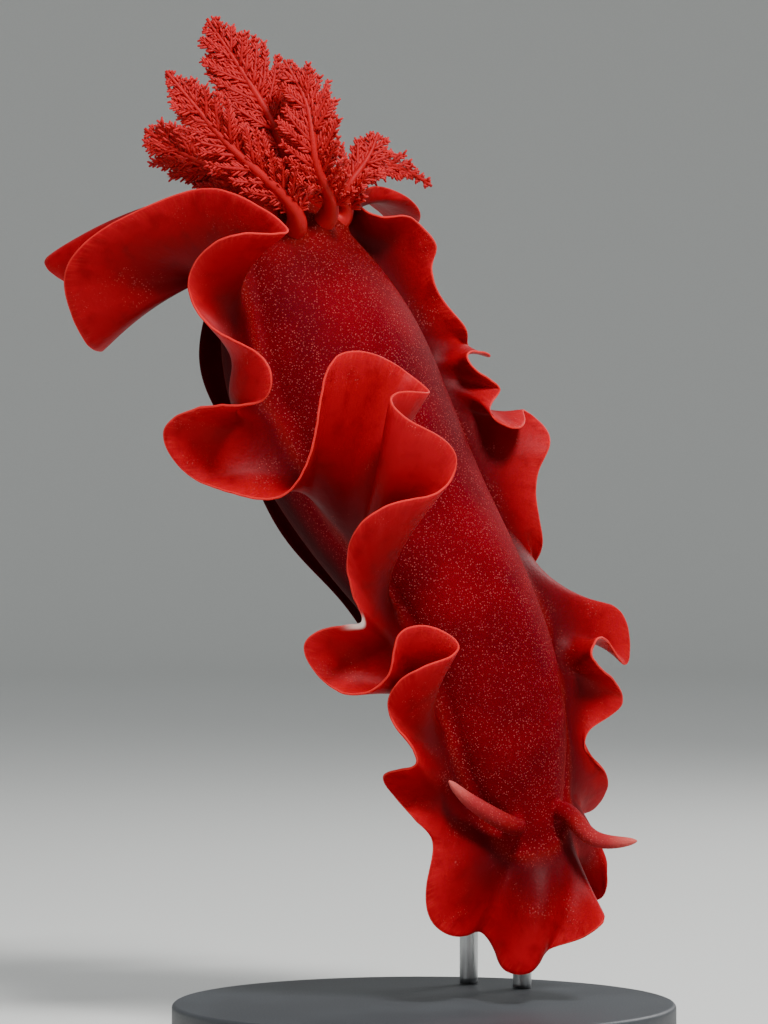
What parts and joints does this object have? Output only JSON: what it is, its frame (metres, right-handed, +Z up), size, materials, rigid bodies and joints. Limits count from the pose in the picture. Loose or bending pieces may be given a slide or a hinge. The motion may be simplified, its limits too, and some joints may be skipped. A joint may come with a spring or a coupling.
{
  "type": "spanish dancer nudibranch display model",
  "caption": "Large red sea slug swimming head down, its mantle thrown into deep ruffles, with feathery gills and smooth horns, held over a flat round base by bent rods.",
  "frame": {"origin": "centre of the round base's underside", "axes": "+Z up; +X to the right as the back and the ruffles are seen from the front; -Y towards the viewer, the side that the back is turned to; the head points down"},
  "size_m": [0.2125, 0.168, 0.3404],
  "materials": {
    "back_flesh": "moist satin, deep red with fine pale speckles",
    "mantle_flesh": "moist satin, translucent scarlet with a bright margin",
    "foot_flesh": "moist satin, dull red",
    "gill_flesh": "soft coral red",
    "rhinophore_flesh": "smooth salmon pink",
    "stand_board": "fine matt charcoal",
    "stand_metal": "brushed"
  },
  "bodies": {
    "root": {"body_rear": "back_flesh", "body_middle": "back_flesh", "body_front": "back_flesh", "head": "back_flesh", "mantle_right_rear": "mantle_flesh", "mantle_right_middle": "mantle_flesh", "mantle_right_front": "mantle_flesh", "mantle_veil": "mantle_flesh", "mantle_left_front": "mantle_flesh", "mantle_left_middle": "mantle_flesh", "mantle_left_rear": "mantle_flesh", "foot_rear": "foot_flesh", "foot_front": "foot_flesh", "oral_tentacle_right": "foot_flesh", "oral_tentacle_left": "foot_flesh", "mouth": "foot_flesh", "gill_1": "gill_flesh", "gill_2": "gill_flesh", "gill_3": "gill_flesh", "gill_4": "gill_flesh", "gill_5": "gill_flesh", "gill_6": "gill_flesh", "rhinophore_right": "rhinophore_flesh", "rhinophore_left": "rhinophore_flesh", "stand_base": "stand_board", "stand_rod_rear": "stand_metal", "stand_rod_front": "stand_metal"}
  },
  "joints": []
}
